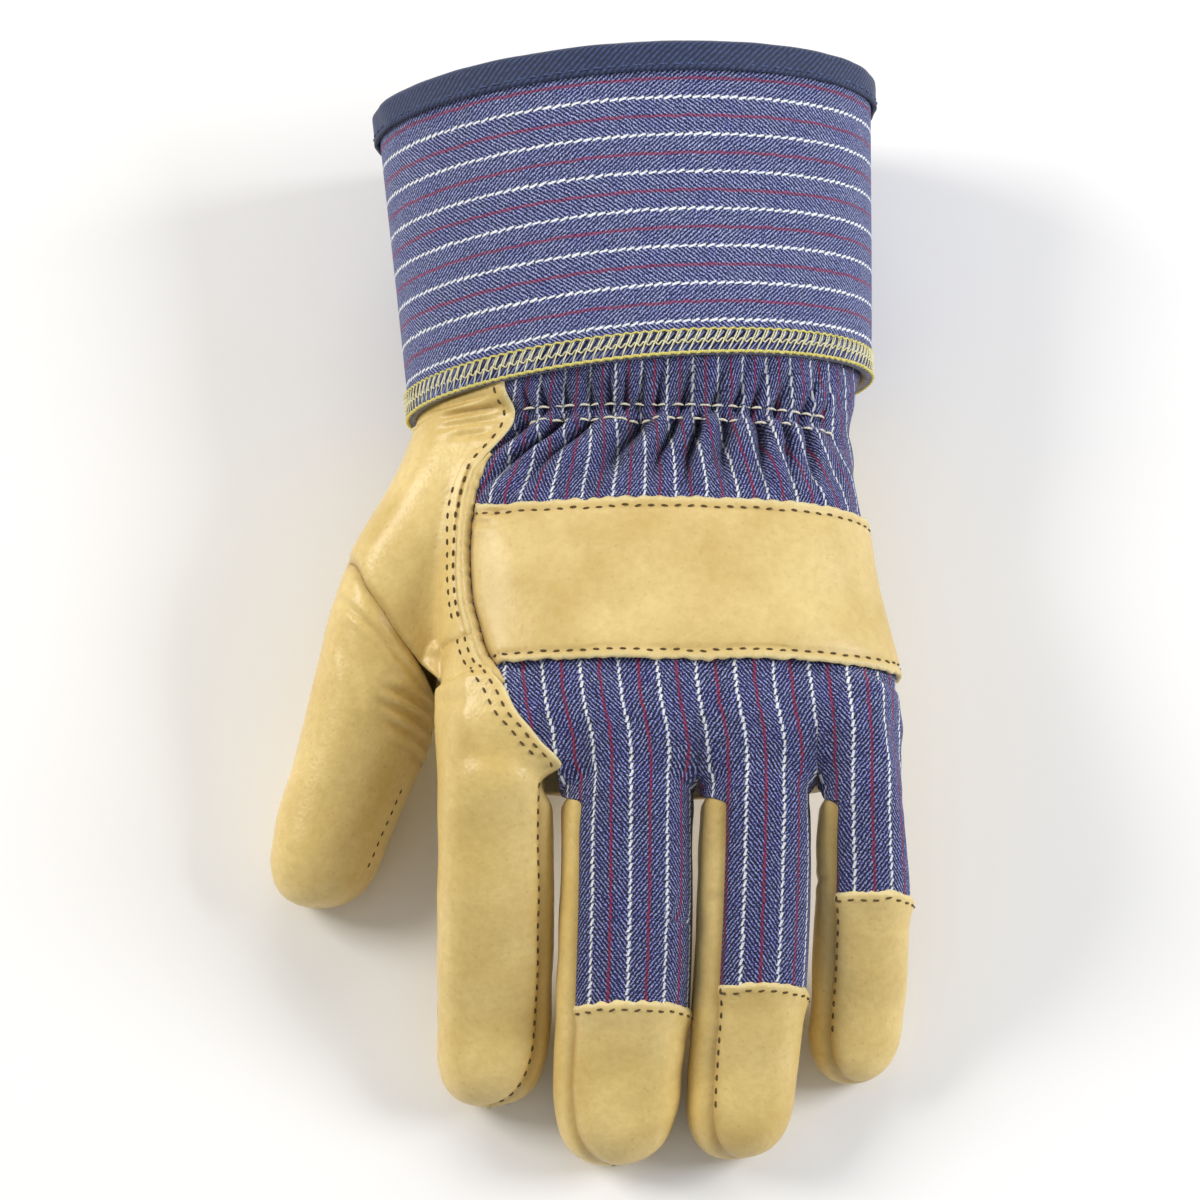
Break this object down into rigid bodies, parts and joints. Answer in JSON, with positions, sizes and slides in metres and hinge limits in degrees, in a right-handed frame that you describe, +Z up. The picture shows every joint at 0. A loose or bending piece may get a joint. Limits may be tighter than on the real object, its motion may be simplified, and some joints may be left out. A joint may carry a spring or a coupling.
{
  "type": "work glove",
  "caption": "Left-hand leather-palm work glove with a striped cloth back, a knuckle strap and a stiff bound safety cuff, lying palm down.",
  "frame": {"origin": "under the middle of the glove's bounding box, on the surface that it lies on", "axes": "+Z up, away from the surface; +Y along the glove from the fingertips to the cuff's mouth; +X from the thumb's side to the little finger's side"},
  "size_m": [0.1452, 0.2498, 0.0751],
  "materials": {
    "pigskin": "smooth golden grain pigskin with a soft sheen",
    "strap_leather": "flat pale grain leather with raw cut edges",
    "striped_cloth": "blue-violet herringbone twill with white and red stripes",
    "binding": "navy woven binding tape"
  },
  "bodies": {
    "root": {"back_cloth": "striped_cloth", "middle_tip": "pigskin", "ring_tip": "pigskin", "little_tip": "pigskin", "thumb": "pigskin", "index_back": "pigskin", "index_front": "pigskin", "middle_front": "pigskin", "ring_front": "pigskin", "little_front": "pigskin", "palm": "pigskin", "knuckle_strap": "strap_leather", "back_welt": "pigskin", "cuff": "striped_cloth", "cuff_binding": "binding"}
  },
  "joints": []
}
